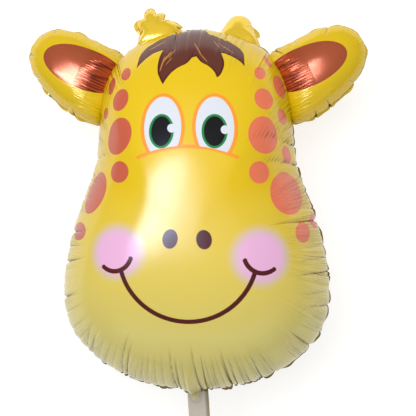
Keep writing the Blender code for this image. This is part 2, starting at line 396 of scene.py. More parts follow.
def foil_lobe(name, curve, middle, thickness, stations, rings, pleats, slots):
    """A swollen, pleated pillow over the weld line."""
    length = walk_round(curve, [0.0])[1]
    turns = crowded_turns(pleats, length, stations)
    rim = walk_round(curve, turns)[0]
    spokes = rim - np.array(middle)
    reach = np.linalg.norm(spokes, axis=1)
    way = spokes / reach[:, None]
    half = rings // 2
    shares = np.cos(np.arange(half) / (half - 1) * math.pi / 2)
    height = thickness / 2 * pillow_height(shares)

    pressed, folded = pleat_field(pleats, turns, shares, length)
    slope = np.gradient(height, shares)[None, :]
    steep = np.sqrt(reach[:, None] ** 2 + slope**2)
    out = -slope / steep
    up = reach[:, None] / steep

    radius = shares[None, :] * reach[:, None] + overhang(height, thickness)[None, :]
    rise = height[None, :] + 0 * radius
    along = np.hypot(np.diff(radius, axis=1), np.diff(rise, axis=1))
    flat = np.cumsum(along[:, ::-1], axis=1)[:, ::-1]
    flat = np.concatenate([flat, np.zeros((stations, 1))], axis=1)
    flutter = RIM_FLUTTER * np.interp(pressed[:, 0], (0, FLUTTER_DENT), (-1, 1))
    round_turn = 2 * math.pi * turns
    waver = np.sin(round(WELD_WAVES * length) * round_turn)
    waver *= np.sin(round(WELD_GROUPS * length) * round_turn)
    weld = 1.0 + WELD_WAVER * waver + WELD_AT_FOOT * np.maximum(0.0, -way[:, 1]) ** 4

    net = bmesh.new()
    bmesh.ops.create_uvsphere(net, u_segments=stations, v_segments=rings, radius=1.0)
    maps = {map_name: {} for map_name in MAPS}
    for vertex in net.verts:
        latitude = math.asin(max(-1.0, min(1.0, vertex.co.z)))
        ring = round(abs(latitude) / math.pi * rings)
        side = math.copysign(1.0, latitude)
        around = math.atan2(vertex.co.y, vertex.co.x) / (2 * math.pi) * stations
        at = round(around) % stations
        k = max(ring - 1, 0)
        dent = pressed[at, k]
        far = radius[at, k] - dent * out[at, k]
        rises = side * max(rise[at, k] - dent * up[at, k] * (shares[k] < 1), WELD_HALF)
        spread = flat[at, k]
        share = shares[k]
        if ring == 0:
            far += WELD_WIDTH * weld[at]
            spread += WELD_WIDTH
            share = 1.0 + WELD_WIDTH / reach[at]
            rises = flutter[at]
        vertex.co = (middle[0] + way[at, 0] * far, middle[1] + way[at, 1] * far, rises)
        maps["flat"][vertex] = (middle[0] + way[at, 0] * spread, middle[1] + way[at, 1] * spread)
        maps["disc"][vertex] = (way[at, 0] * share, way[at, 1] * share)
        maps["fold"][vertex] = (folded[at, k], 0.0)

    front, back = slots
    for face in net.faces:
        face.material_index = front if sum(v.co.z for v in face.verts) > 0 else back
    print(name, len(net.faces), "faces,", len(pleats), "pleats")
    return finish_lobe(name, net, maps)


def finish_lobe(name, net, maps):
    """An object made from the net and its maps, with its faces pointing out."""
    for map_name, places in maps.items():
        layer = net.loops.layers.uv.new(map_name)
        for face in net.faces:
            for loop in face.loops:
                loop[layer].uv = places[loop.vert]
    if net.calc_volume(signed=True) < 0:
        bmesh.ops.reverse_faces(net, faces=net.faces)
    mesh = bpy.data.meshes.new(name)
    net.to_mesh(mesh)
    net.free()
    return add_object(name, mesh)


# %% [markdown]
# ## The materials' slots
# The lobes are joined into one mesh later, so they all carry the same five materials in the
# same order, and each face keeps its number. Their nodes come further down.

# %% Make the five empty materials
FINISHES = [
    bpy.data.materials.new(name)
    for name in ("printed face", "printed back", "printed ear", "yellow foil", "neck foil")
]
print("materials", [material.name for material in FINISHES])

# %% [markdown]
# ## Head, ears and horns
# The head's pleats are many and shallow for its size, the ears' are coarser, and the horns
# are little more than pleats. Each lobe sits as in the solid model: ears and horns run in a
# little past the head's edge, the ears tipped forward, each horn flopping back its own way.

# %% Make the five swollen lobes
ROOT_OVERLAP = 0.019
EAR_STATION = 0.66
EAR_LIFT = math.radians(24)
LEFT_EAR_TIP_BACK, RIGHT_EAR_TIP_BACK = -math.radians(5.5), -math.radians(1)
HORN_STATION = 0.305
LEFT_HORN_TURN = math.pi / 2 - math.radians(3)
RIGHT_HORN_TURN = math.pi / 2 - math.radians(9)
LEFT_HORN_TIP_BACK, RIGHT_HORN_TIP_BACK = math.radians(40), math.radians(12)

HEAD_BELLY_MIDDLE = (0.0, HEAD_BELLY * HEAD_HEIGHT / 2)
head_pleats = creases_on_head(depth=0.0064, fine_depth=0.0026, middle=HEAD_BELLY_MIDDLE)
head_pleats += draw_pleats(seed=11, length=1.9, spacing=0.021, depth=0.0050, long_share=0.12)
head = foil_lobe(
    "head",
    head_curve(),
    HEAD_BELLY_MIDDLE,
    HEAD_THICKNESS,
    stations=920,
    rings=62,
    pleats=head_pleats,
    slots=(FRONT_PRINT, BACK_PRINT),
)


ear_root, horn_root = head_edge(EAR_STATION, axis=1), head_edge(HORN_STATION, axis=0)
EAR = {
    "sizes": (EAR_LENGTH, EAR_WIDTH, EAR_THICKNESS),
    "root": (ear_root.x - ROOT_OVERLAP, ear_root.y, 0.0),
    "pleats": {"length": 0.55, "spacing": 0.022, "depth": 0.0045, "long_share": 0.30},
    "net": {"stations": 264, "rings": 44, "slots": (EAR_FRONT, PLAIN_FOIL)},
}
HORN = {
    "sizes": (HORN_LENGTH, HORN_WIDTH, HORN_THICKNESS),
    "root": (horn_root.x, horn_root.y - ROOT_OVERLAP, 0.0),
    "pleats": {"length": 0.30, "spacing": 0.022, "depth": 0.0060, "long_share": 0.55},
    "net": {"stations": 168, "rings": 32, "slots": (PLAIN_FOIL, PLAIN_FOIL)},
}


def make_limb(name, kind, outline, turn, tip_back, seed):
    """An ear or horn on the head's edge, made for the +X side and mirrored for the right."""
    length, width, thickness = kind["sizes"]
    pleats = draw_pleats(seed, **kind["pleats"])
    curve = limb_curve(outline, length, width)
    middle = (length * LIMB_BELLY, 0.0)
    limb = foil_lobe(name, curve, middle, thickness, pleats=pleats, **kind["net"])
    place = (
        Matrix.Translation(kind["root"])
        @ Matrix.Rotation(turn, 4, "Z")
        @ Matrix.Rotation(tip_back, 4, "Y")
    )
    mirrored = name.endswith("right")
    limb.data.transform(Matrix.Diagonal((-1, 1, 1, 1)) @ place if mirrored else place)
    if mirrored:
        limb.data.flip_normals()
    return limb


limbs = [
    make_limb("ear_left", EAR, EAR_OUTLINE, EAR_LIFT, LEFT_EAR_TIP_BACK, seed=21),
    make_limb("ear_right", EAR, EAR_OUTLINE, EAR_LIFT, RIGHT_EAR_TIP_BACK, seed=22),
    make_limb("horn_left", HORN, HORN_OUTLINE, LEFT_HORN_TURN, LEFT_HORN_TIP_BACK, seed=31),
    make_limb(
        "horn_right", HORN, CRUMPLED_HORN_OUTLINE, RIGHT_HORN_TURN, RIGHT_HORN_TIP_BACK, seed=32
    ),
]

# %% [markdown]
# ## The filling neck
# Gas goes in through a flat tail of foil at the chin. It is welded along both sides, and the
# channel between the welds stays a little open for a finger's length and then lies flat. A
# cube, cut into fine strips and bent to that section, makes it, with small gathers and a curl.

# %% Make the neck from a cube
NECK_OVERLAP = 0.030
NECK_LENGTH = 0.095
NECK_WIDTH = 0.039
NECK_THICKNESS = 0.0024
NECK_WELD = 0.006
NECK_CHANNEL = 0.016
NECK_CHANNEL_REACH = 0.029
NECK_CHANNEL_SHIFT = -0.0045
NECK_DROOP = math.radians(7)
NECK_LEAN = math.radians(3)
NECK_CUTS = {1: 63, 0: 23}  # along Y and along X
CHANNEL_BLUNTNESS = 4  # how squarely the channel's end closes
LEAST_SWELL = 0.05
NECK_GATHER, NECK_GATHER_RATE = 0.0003, 1900
NECK_CURL, NECK_CURL_RATE = 0.0016, 75


def edges_along(net, axis):
    """The edges of a boxy net that run along an axis."""
    def runs(edge):
        step = edge.verts[0].co - edge.verts[1].co
        return abs(step[axis]) > step.length / 2

    return [edge for edge in net.edges if runs(edge)]


def make_neck():
    """The flat tail of foil, with its root inside the head."""
    net = bmesh.new()
    bmesh.ops.create_cube(net, size=2.0)
    for axis, cuts in NECK_CUTS.items():
        edges = edges_along(net, axis)
        bmesh.ops.subdivide_edges(net, edges=edges, cuts=cuts, use_grid_fill=True)
    length = NECK_OVERLAP + NECK_LENGTH
    inner = NECK_WIDTH / 2 - NECK_WELD - abs(NECK_CHANNEL_SHIFT) / 2
    maps = {map_name: {} for map_name in MAPS}
    for vertex in net.verts:
        x = vertex.co.x * NECK_WIDTH / 2
        along = (1 - vertex.co.y) / 2 * length
        beyond = max(0.0, (along - NECK_OVERLAP) / NECK_CHANNEL_REACH)
        swell = max(0.0, 1 - beyond**CHANNEL_BLUNTNESS) ** (1 / CHANNEL_BLUNTNESS)
        across = (x - NECK_CHANNEL_SHIFT) / (inner * max(swell, LEAST_SWELL))
        bulge = math.sqrt(max(0.0, 1 - across**2)) * math.sqrt(swell)
        rise = NECK_THICKNESS / 2 + (NECK_CHANNEL - NECK_THICKNESS) / 2 * bulge
        gather = NECK_GATHER * math.sin(x * NECK_GATHER_RATE) * swell
        curl = NECK_CURL * math.sin(along * NECK_CURL_RATE) * (x / NECK_WIDTH) * 2
        vertex.co = (x, -along, math.copysign(rise + gather, vertex.co.z) + curl)
        maps["flat"][vertex] = (x, -along)
        maps["disc"][vertex] = maps["fold"][vertex] = (0.0, 0.0)
    for face in net.faces:
        face.material_index = NECK_FOIL
    neck = finish_lobe("neck", net, maps)
    neck.data.transform(
        Matrix.Translation((0.0, -HEAD_HEIGHT / 2 + NECK_OVERLAP, 0.0))
        @ Matrix.Rotation(NECK_LEAN, 4, "Z")
        @ Matrix.Rotation(NECK_DROOP, 4, "X")
    )
    return neck


limbs.append(make_neck())
print("neck", round(NECK_LENGTH, 3), "m long past the head's edge")

# %% [markdown]
# ## Join the lobes and set them down
# A real envelope is one skin, so the lobes are united into one mesh with Boolean modifiers,
# which can use the fast manifold solver because every lobe is closed. First they move to the
# solid model's place. Where the back would pass the floor it is pressed flat, as at rest.

# %% Unite the lobes
SHARPEST_SMOOTH = math.radians(48)
neck_end = min(v.co.y for v in limbs[-1].data.vertices)
set_down = Matrix.Translation((0.0, cad_box[0][1] - neck_end, SEAM_HEIGHT))
for lobe in (head, *limbs):
    lobe.data.transform(set_down)
    for material in FINISHES:
        lobe.data.materials.append(material)
for vertex in head.data.vertices:
    vertex.co.z = max(vertex.co.z, 0.0)


def unite(body, others):
    """A new mesh of all the lobes as one closed skin. The lobes are deleted."""
    for other in others:
        union = body.modifiers.new("unite " + other.name, "BOOLEAN")
        union.operation = "UNION"
        union.solver = "MANIFOLD"
        union.object = other
    graph = bpy.context.evaluated_depsgraph_get()
    mesh = bpy.data.meshes.new_from_object(body.evaluated_get(graph))
    for lobe in (body, *others):
        bpy.data.objects.remove(lobe)
    return mesh


envelope_mesh = unite(head, limbs)
envelope_mesh.name = "foil_envelope"
envelope_mesh.shade_smooth()
envelope_mesh.set_sharp_from_angle(angle=SHARPEST_SMOOTH)
envelope = add_object("foil_envelope", envelope_mesh)
triangles = sum(len(p.vertices) - 2 for p in envelope_mesh.polygons)
print("envelope", triangles, "triangles, maps", [u.name for u in envelope_mesh.uv_layers])

# %% [markdown]
# ## Shader maths as expressions
# A pattern drawn by nodes is a formula. Writing it as Python is much easier to read than
# wiring it, so a small class wraps a socket and turns each operator into a Math node.

# %% A value that varies over the surface
class Value:
    """A socket whose operators add Math nodes to its tree."""

    def __init__(self, tree, socket):
        self.tree = tree
        self.socket = socket

    def math(self, operation, *others, clamp=False):
        node = self.tree.nodes.new("ShaderNodeMath")
        node.operation = operation
        node.use_clamp = clamp
        for slot, term in zip(node.inputs, (self, *others)):
            if isinstance(term, Value):
                self.tree.links.new(term.socket, slot)
            else:
                slot.default_value = term
        return Value(self.tree, node.outputs[0])

    def __add__(self, other):
        return self.math("ADD", other)

    __radd__ = __add__

    def __sub__(self, other):
        return self.math("SUBTRACT", other)

    def __rsub__(self, other):
        return self.math("MULTIPLY_ADD", -1.0, other)

    def __mul__(self, other):
        return self.math("MULTIPLY", other)

    __rmul__ = __mul__

    def __truediv__(self, other):
        return self.math("DIVIDE", other)

    def __abs__(self):
        return self.math("ABSOLUTE")

    def __pow__(self, other):
        return self.math("POWER", other)

    def least(self, other):
        return self.math("MINIMUM", other)

    def most(self, other):
        return self.math("MAXIMUM", other)

    def kept_in(self):
        """This value, kept between 0 and 1."""
        return self.most(0.0).least(1.0)

    def inside(self, blur):
        """1 where this distance is negative and 0 where it is positive, over a soft edge."""
        return self.math("MULTIPLY_ADD", -1.0 / blur, 0.5, clamp=True)


# %% [markdown]
# ## A finish
# A material is a tree of nodes that ends in the Principled shader. A class with one method
# for any node, and short ones for the kinds used most, keeps each material to a few lines.

# %% A material and its nodes
class Finish:
    """One material's node tree, with a method that makes any node."""

    def __init__(self, material):
        material.use_nodes = True
        self.tree = material.node_tree
        self.shader = self.tree.nodes["Principled BSDF"]
        self.made = 0

    def node(self, kind, settings=None, sockets=None, out=0):
        """A node of this kind, its settings first, then its sockets' values or links."""
        node = self.tree.nodes.new("ShaderNode" + kind)
        self.made += 1
        for name, setting in (settings or {}).items():
            if name == "points":
                curve = node.mapping.curves[0]
                while len(curve.points) < len(setting):
                    curve.points.new(1.0, 1.0)
                for point, place in zip(curve.points, setting):
                    point.location = place
                node.mapping.update()
            else:
                setattr(node, name, setting)
        for name, value in (sockets or {}).items():
            if isinstance(value, Value):
                self.tree.links.new(value.socket, node.inputs[name])
            else:
                node.inputs[name].default_value = value
        return Value(self.tree, node.outputs[out])

    def mix(self, below, above, factor):
        """The colour above laid over the colour below where factor is 1."""
        sockets = {0: factor, 6: below, 7: above}
        return self.node("Mix", {"data_type": "RGBA"}, sockets, out=2)

    def split(self, vector):
        """A vector's x, y and z."""
        x = self.node("SeparateXYZ", None, {0: vector})
        return [Value(self.tree, output) for output in x.socket.node.outputs]

    def vector(self, operation, first, second=None, out=0):
        sockets = {0: first} if second is None else {0: first, 1: second}
        return self.node("VectorMath", {"operation": operation}, sockets, out)

    def noise(self, place, scale=1.0, detail=1.0):
        return self.node("TexNoise", None, {"Vector": place, "Scale": scale, "Detail": detail})

    def bump(self, depth, height, **sockets):
        sockets = {"Strength": 1.0, "Distance": depth, "Height": height, **sockets}
        return self.node("Bump", None, sockets)

    def map(self, name):
        return self.node("UVMap", {"uv_map": name})

    def fixed(self, **values):
        """Sets the shader's own sockets, which are the same all over the surface."""
        sockets = {socket.name.lower().replace(" ", "_"): socket for socket in self.shader.inputs}
        for name, value in values.items():
            sockets[name].default_value = value

    def feed(self, socket, value):
        self.tree.links.new(value.socket, self.shader.inputs[socket])


# %% [markdown]
# ## Measure the print through the camera
# The face is printed on flat foil, so it bends with it. The camera's ray through a pixel of
# a printed mark hits the foil, and the `flat` map there says where on the flat sheet the ink
# lies. Drawn in those coordinates, the print follows the foil and looks right from any side.

# %% Find flat foil coordinates under pixels
def sheet_tree(slot):
    """The faces of one material, for rays, with their places in the envelope."""
    chosen = [p for p in envelope_mesh.polygons if p.material_index == slot]
    points = [v.co for v in envelope_mesh.vertices]
    return BVHTree.FromPolygons(points, [tuple(p.vertices) for p in chosen]), chosen


SHEETS = {slot: sheet_tree(slot) for slot in (FRONT_PRINT, EAR_FRONT, NECK_FOIL)}


def foil_point(x, y, slot=FRONT_PRINT):
    """The flat coordinates of the foil under a pixel, or None where the ray misses it."""
    tree, chosen = SHEETS[slot]
    hit, _, index, _ = tree.ray_cast(*pixel_ray(x, y))
    if hit is None:
        return None
    face = chosen[index]
    corners = [envelope_mesh.vertices[v].co for v in face.vertices]
    weights = poly_3d_calc(corners, hit)
    uvs = envelope_mesh.uv_layers["flat"].uv
    places = [Vector(uvs[loop].vector) for loop in face.loop_indices]
    return sum((w * place for w, place in zip(weights, places)), Vector((0.0, 0.0)))


def half_axis(x, y, right, down, slot):
    """How far the foil runs from a pixel to one beside it, measured to both sides if it can be."""
    for share in (1.0, 0.5, 0.25):
        ends = [foil_point(x + way * right, y + way * down, slot) for way in (share, 0, -share)]
        found = [end for end in ends if end is not None]
        if len(found) > 1:
            return (found[0] - found[-1]) / (share * (len(found) - 1))
    raise ValueError(f"no foil beside the pixel {x}, {y}")


def oval_on_foil(x, y, half_width, half_height, tilt=0.0, slot=FRONT_PRINT):
    """An oval seen in the photograph, as a middle and two half axes on the flat foil."""
    turn = math.radians(tilt)
    middle = foil_point(x, y, slot)
    wide = half_axis(x, y, half_width * math.cos(turn), half_width * math.sin(turn), slot)
    high = half_axis(x, y, -half_height * math.sin(turn), half_height * math.cos(turn), slot)
    return middle, wide, high


print("the nose is at", foil_point(*HEAD_MIDDLE_PIXEL), "on the flat foil")

# %% [markdown]
# ## Printed marks as distances
# A printed mark has a clean edge at any size. So each is drawn as a distance: how far a point
# of the foil lies outside the shape, negative inside. The least of two distances joins two
# shapes, the most keeps what they share, and a soft step at zero makes the inked edge.

# %% Draw shapes in flat coordinates
def oval(finish, place, shape, grow=0.0):
    """The distance outside an oval, in metres, negative inside. grow widens it."""
    middle, wide, high = shape
    wide = wide * (1 + grow / wide.length)
    high = high * (1 + grow / high.length)
    spread = wide.x * high.y - wide.y * high.x
    across = (high.y / spread, -high.x / spread, 0.0)
    along = (-wide.y / spread, wide.x / spread, 0.0)
    offset = finish.vector("SUBTRACT", place, (middle.x, middle.y, 0.0))
    first = finish.vector("DOT_PRODUCT", offset, across, out=1)
    second = finish.vector("DOT_PRODUCT", offset, along, out=1)
    reach = (first * first + second * second).math("SQRT")
    return (reach - 1.0) * math.sqrt(abs(spread))


def joined(shapes):
    """The distance outside the nearest of several shapes."""
    return functools.reduce(Value.least, shapes)


def circle_through(a, b, c):
    """The centre and radius of the circle through three flat points."""
    ab, ac = b - a, c - a
    cross = 2 * (ab.x * ac.y - ab.y * ac.x)
    x = (ac.y * ab.length_squared - ab.y * ac.length_squared) / cross
    y = (ab.x * ac.length_squared - ac.x * ab.length_squared) / cross
    return a + Vector((x, y)), math.hypot(x, y)


def distance_to(finish, place, point):
    """The distance from a flat point."""
    offset = finish.vector("SUBTRACT", place, (point.x, point.y, 0.0))
    return finish.vector("LENGTH", offset, out=1)


CHORD_CUT = 50.0  # how firmly a stroke's circle is cut off at the stroke's ends


def stroke(finish, place, pixels, width):
    """The distance outside a round-ended pen stroke that bends through three pixels."""
    a, b, c = (foil_point(*pixel) for pixel in pixels)
    centre, radius = circle_through(a, b, c)
    chord = (c - a).normalized()
    normal = Vector((-chord.y, chord.x))
    if (b - a).dot(normal) < 0:
        normal = -normal
    ring = abs(distance_to(finish, place, centre) - radius)
    offset = finish.vector("SUBTRACT", place, (a.x, a.y, 0.0))
    bulge_side = finish.vector("DOT_PRODUCT", offset, (normal.x, normal.y, 0.0), out=1)
    arc = ring.most(bulge_side * -CHORD_CUT)
    ends = distance_to(finish, place, a).least(distance_to(finish, place, c))
    return arc.least(ends) - width / 2


def edge_line(finish, across, pixels, axis):
    """The other coordinate of an edge that runs through pixels, as a curve of across."""
    ordered = sorted((foil_point(*pixel) for pixel in pixels), key=lambda p: p[axis])
    low, high = ordered[0][axis], ordered[-1][axis]
    others = [p[1 - axis] for p in ordered]
    base, span = min(others), max(others) - min(others)
    marks = [((p[axis] - low) / (high - low), (p[1 - axis] - base) / span) for p in ordered]
    share = (across - low) / (high - low)
    curve = finish.node("FloatCurve", {"points": marks}, {"Value": share})
    return curve * span + base


# %% [markdown]
# ## The face's print
# Everything here is read off the photograph in its pixels: each oval's middle, half width,
# half height and how it is turned. The spots are printed alike on both sides, but the balloon
# is turned a little, so each is measured where it shows.

# %% The print's places in the photograph
SPOTS = (
    (126.0, 74.0, 4.2, 6.6, 25), (120.2, 99.7, 7.0, 11.5, 22), (111.8, 85.8, 2.7, 8.8, 14),
    (105.8, 113.6, 2.2, 6.0, 8), (118.2, 136.0, 10.5, 19.0, 16), (119.0, 172.0, 8.6, 10.9, 10),
    (94.7, 193.0, 10.0, 22.0, 20), (80.0, 231.0, 4.8, 9.4, 8), (260.0, 73.0, 5.4, 6.4, -25),
    (264.0, 98.6, 8.7, 11.0, -28), (279.5, 86.5, 4.6, 12.5, -20), (267.5, 61.5, 1.9, 7.0, -32),
    (264.0, 135.0, 14.0, 19.0, -16), (282.5, 117.0, 4.0, 8.0, -14),
    (259.6, 172.4, 10.0, 11.2, -10), (288.4, 193.0, 14.0, 21.8, -18),
    (303.4, 232.0, 7.2, 10.4, -14), (287.0, 155.0, 4.0, 9.5, -12), (311.5, 221.0, 3.2, 8.0, -12),
)
EYE_WHITES = ((162.5, 127.0, 18.5, 31.0, 2), (215.0, 127.0, 19.3, 31.0, -2))
IRISES = ((161.3, 131.0, 12.4, 17.2, 4), (214.6, 131.0, 13.1, 17.2, 0))
EYE_LIGHTS = ((171.5, 128.2, 4.3, 4.3, 0), (225.0, 129.6, 4.3, 4.3, 0))
MUZZLE_LINE = ((138.5, 157.3), (187.0, 146.3), (237.0, 157.3))
NOSTRILS = ((170.0, 239.0, 7.7, 9.8, 8), (204.0, 239.7, 7.9, 9.8, -8))
CHEEKS = ((116.4, 252.0, 23.5, 25.0, 0), (261.0, 257.0, 26.5, 27.0, 0))
SMILE = ((121.3, 271.7), (191.0, 321.8), (255.0, 272.5))
DIMPLES = (
    ((103.9, 266.8), (118.3, 270.8), (130.5, 258.7)),
    ((245.1, 260.6), (257.0, 272.4), (274.0, 269.3)),
)
# The hair's four locks: the two edges of each, from the tip to where it meets the rest.
OUTER_LOCKS = (
    (
        ((136.6, 68.6), (142.2, 52.9), (154.2, 43.2), (170.0, 35.5), (180.0, 33.0), (196.0, 33.5)),
        ((136.6, 68.6), (147.7, 57.5), (157.0, 52.0), (166.3, 50.0), (180.0, 53.0), (196.0, 57.0)),
    ),
    (
        ((244.6, 66.3), (243.8, 54.0), (233.8, 44.6), (221.8, 38.6), (209.0, 34.5), (194.0, 34.5)),
        ((244.6, 66.3), (238.4, 60.3), (229.2, 55.4), (219.9, 53.0), (208.0, 54.0), (194.0, 57.0)),
    ),
)
INNER_LOCKS = (
    (
        ((163.0, 84.4), (159.6, 78.0), (157.5, 69.4), (158.9, 59.5), (166.3, 49.0)),
        ((163.0, 84.4), (166.5, 78.4), (175.5, 69.2), (188.5, 61.6), (196.5, 49.0)),
    ),
    (
        ((216.8, 77.4), (214.4, 72.0), (208.8, 66.4), (199.6, 60.6), (193.5, 49.0)),
        ((216.8, 77.4), (222.6, 70.3), (224.2, 63.5), (222.9, 57.6), (219.0, 49.0)),
    ),
)
HAIR_LIGHTS = (
    (157.5, 45.6, 9.5, 0.35, -27), (162.4, 63.5, 8.0, 0.7, -70), (167.5, 56.5, 7.0, 0.8, -50),
    (172.0, 53.8, 6.0, 0.35, -52), (169.0, 61.0, 5.0, 0.35, -48), (197.5, 48.5, 6.5, 0.6, 58),
    (203.0, 57.0, 6.5, 0.5, 48), (226.0, 48.0, 9.5, 0.35, 32), (216.5, 44.5, 5.0, 0.35, 48),
)
EAR_PATCH = (84.5, 68.0, 43.0, 20.3, 20)
print(len(SPOTS), "spots measured")

# %% [markdown]
# ## The inks
# Balloon inks lie on white or straight on the metal. Each is given as a screen shows it, and
# `ink` turns it into the linear light that a renderer adds up. They are a little deeper than
# in the photograph, because the lamps lighten them.

# %% The inks
def ink(red, green, blue):
    """A linear colour from the 0 to 255 values that a screen shows."""
    shown = [c / 255 for c in (red, green, blue)]
    linear = [c / 12.92 if c <= 0.04045 else ((c + 0.055) / 1.055) ** 2.4 for c in shown]
    return (*linear, 1.0)


YELLOW = ink(220, 185, 14)
# Painted reflection of the white floor, laid over the yellow towards the chin and the weld.
PAINTED_SHEEN_YELLOW = ink(212, 199, 112)
CORAL = ink(192, 90, 62)
# Painted light: a lighter coral for the spots on the +X side, standing in for the light there.
PAINTED_LIT_CORAL = ink(226, 116, 82)
COPPER = ink(204, 102, 66)
GOLD = ink(240, 202, 40)
ORANGE = ink(238, 146, 34)
WHITE = ink(206, 211, 220)
GREEN = ink(14, 122, 62)
BLACK = ink(3, 3, 5)
CHESTNUT = ink(92, 42, 28)
DARK_BROWN = ink(76, 14, 4)
HONEY = ink(178, 118, 56)
PINK = ink(226, 173, 211)
BLUSH = ink(206, 184, 178)
SILVER = ink(204, 195, 182)
PALE_TUBE = ink(206, 198, 150)
OLIVE = ink(146, 138, 108)
DARK_OLIVE = ink(118, 102, 38)
ROOT_COPPER = ink(206, 88, 40)
# Painted shade for the valleys of the ears' gathers.
GATHER_SHADE_COPPER = ink(112, 38, 16)
# Painted shade for the bottoms of the sharp folds, not an ink.
FOLD_SHADE = ink(74, 56, 14)
print("yellow as linear light", YELLOW[:3])

# %% [markdown]
# ## Printed foil
# The sheet is metal, but its milky ink hides nearly all of that and leaves a satin gloss. So
# the printed sheets are hardly metallic. The finest creases run in from the weld in groups
# and fade out. They are too fine for the mesh, so they are a bump drawn on the disc map, which
# makes them point at the middle. The fold map paints shade into the bottoms of the sharp
# creases, and the yellow is painted paler towards the chin and the weld, a painted reflection
# of the white floor.

# %% Foil's fine creases
# Round the weld there are this many groups and crisp lines for each soft wave. The drifts are
# how fast each changes on the way in.
GROUP_RATE, GROUP_DRIFT = 0.13, 0.5
CRISP_RATE, CRISP_DRIFT = 0.8, 2.5
WAVE_DRIFT = 1.5
GROUP_LEVEL, GROUP_CONTRAST, BETWEEN_GROUPS = 0.42, 6.0, 0.15
CRISP_CONTRAST = 7.0
WAVE_HEIGHT, CRISP_HEIGHT = 0.7, 0.35
CREASE_FADE = 1.2


def foil_creases(finish, spokes, start, depth, lean=(0.0, 0.0)):
    """A bumped normal: groups of soft waves and crisp lines that run in from the weld."""
    disc = finish.map("disc")
    share = finish.vector("LENGTH", disc, out=1)
    way = finish.vector("NORMALIZE", disc)
    begin = finish.vector("DOT_PRODUCT", way, (*lean, 0.0), out=1) + start
    fade = ((share - begin) / (1.0 - begin)).most(0.0) ** CREASE_FADE

    def round_the_weld(rate, drift):
        spread = finish.node("VectorMath", {"operation": "SCALE"}, {0: way, "Scale": spokes * rate})
        steps = finish.node("CombineXYZ", None, {"Z": share * drift})
        return finish.noise(finish.vector("ADD", spread, steps))

    groups = (round_the_weld(GROUP_RATE, GROUP_DRIFT) - GROUP_LEVEL) * GROUP_CONTRAST
    crisp = (abs(round_the_weld(CRISP_RATE, CRISP_DRIFT) - 0.5) * CRISP_CONTRAST).least(1.0)
    waves = round_the_weld(1.0, WAVE_DRIFT) * WAVE_HEIGHT + crisp * CRISP_HEIGHT
    return finish.bump(depth, waves * fade * groups.most(BETWEEN_GROUPS).least(1.0))


def paint_fold_shade(finish, colour, strength):
    """Painted shade: the bottoms of the sharp folds are darkened, because little light gets down
    there.
    """
    fold = finish.split(finish.map("fold"))[0]
    return finish.mix(colour, FOLD_SHADE, fold * strength)


CLOUD_SCALE = 9.0


def pearly_roughness(finish, mean, swing):
    """Satin that isn't quite even."""
    clouds = finish.noise(finish.node("TexCoord", out=3), CLOUD_SCALE, detail=2.0)
    return (clouds - 0.5) * (2 * swing) + mean


def weld_mask(finish, start, blend):
    """1 on the weld's flange, past this share of the way out."""
    share = finish.vector("LENGTH", finish.map("disc"), out=1)
    return ((share - start) / blend).kept_in()


# Painted reflection of the white floor: the yellow pales from this height on the flat foil,
# over this distance, and by this much in the middle and more towards the weld.
SHEEN_TOP, SHEEN_REACH = 0.045, 0.27
SHEEN_MIDDLE, SHEEN_RIM = 0.75, 0.30


def yellow_foil(finish, flat_y):
    """The yellow ink, with a painted pale reflection of the white floor towards the chin and near
    the weld, and the dark weld itself.
    """
    share = finish.vector("LENGTH", finish.map("disc"), out=1)
    down = ((SHEEN_TOP - flat_y) / SHEEN_REACH).kept_in()
    pale = (down * (share * SHEEN_RIM + SHEEN_MIDDLE)).least(1.0)
    yellow = finish.mix(YELLOW, PAINTED_SHEEN_YELLOW, pale)
    return finish.mix(yellow, DARK_OLIVE, weld_mask(finish, start=1.006, blend=0.008))


# %% [markdown]
# ## The face
# A printer lays the inks down in order, light to dark, and so do we: yellow, spots, airbrushed
# cheeks, the orange rims and line, the eyes, nostrils, smile and hair. `opaque` says where the
# ink hides even the last of the metal.

# %% Paint the face
EDGE_BLUR, SOFT_BLUR = 0.0007, 0.0016
SPOT_COVER, HALO_COVER, ORANGE_COVER = 0.25, 0.85, 0.5
# Painted light: the spots turn to the lighter coral across the middle, towards +X.
PAINTED_LIT_TURN = 20.0  # how fast the spots lighten across the middle, per metre
HALO_INSET, HALO_BLUR = 0.003, 0.026
BLUSH_INSET, BLUSH_BLUR = -0.006, 0.020
RIM_WIDTH, MUZZLE_LINE_WIDTH, SMILE_WIDTH = 0.0066, 0.0068, 0.0082
EYE_GAP, PUPIL_GAP, IRIS_RING = 0.0012, 0.0025, 0.0042
HAIR_RIM, HAIR_RIM_BLUR = 0.0035, 0.004


def hair_mask(finish, x, y):
    """The distance outside the hair's four locks."""
    locks = []
    for side, (upper, lower) in enumerate(OUTER_LOCKS):
        over = y - edge_line(finish, x, upper, axis=0)
        under = edge_line(finish, x, lower, axis=0) - y
        root = foil_point(*upper[-1]).x
        locks.append(over.most(under).most((x - root) if side == 0 else (root - x)))
    for left, right in INNER_LOCKS:
        past_left = edge_line(finish, y, left, axis=1) - x
        past_right = x - edge_line(finish, y, right, axis=1)
        tip = foil_point(*left[0]).y - y
        locks.append(past_left.most(past_right).most(tip))
    return joined(locks)


def eased(share):
    """A share from 0 to 1 that starts and ends gently, as sprayed ink does."""
    return share * share * (3.0 - 2.0 * share)


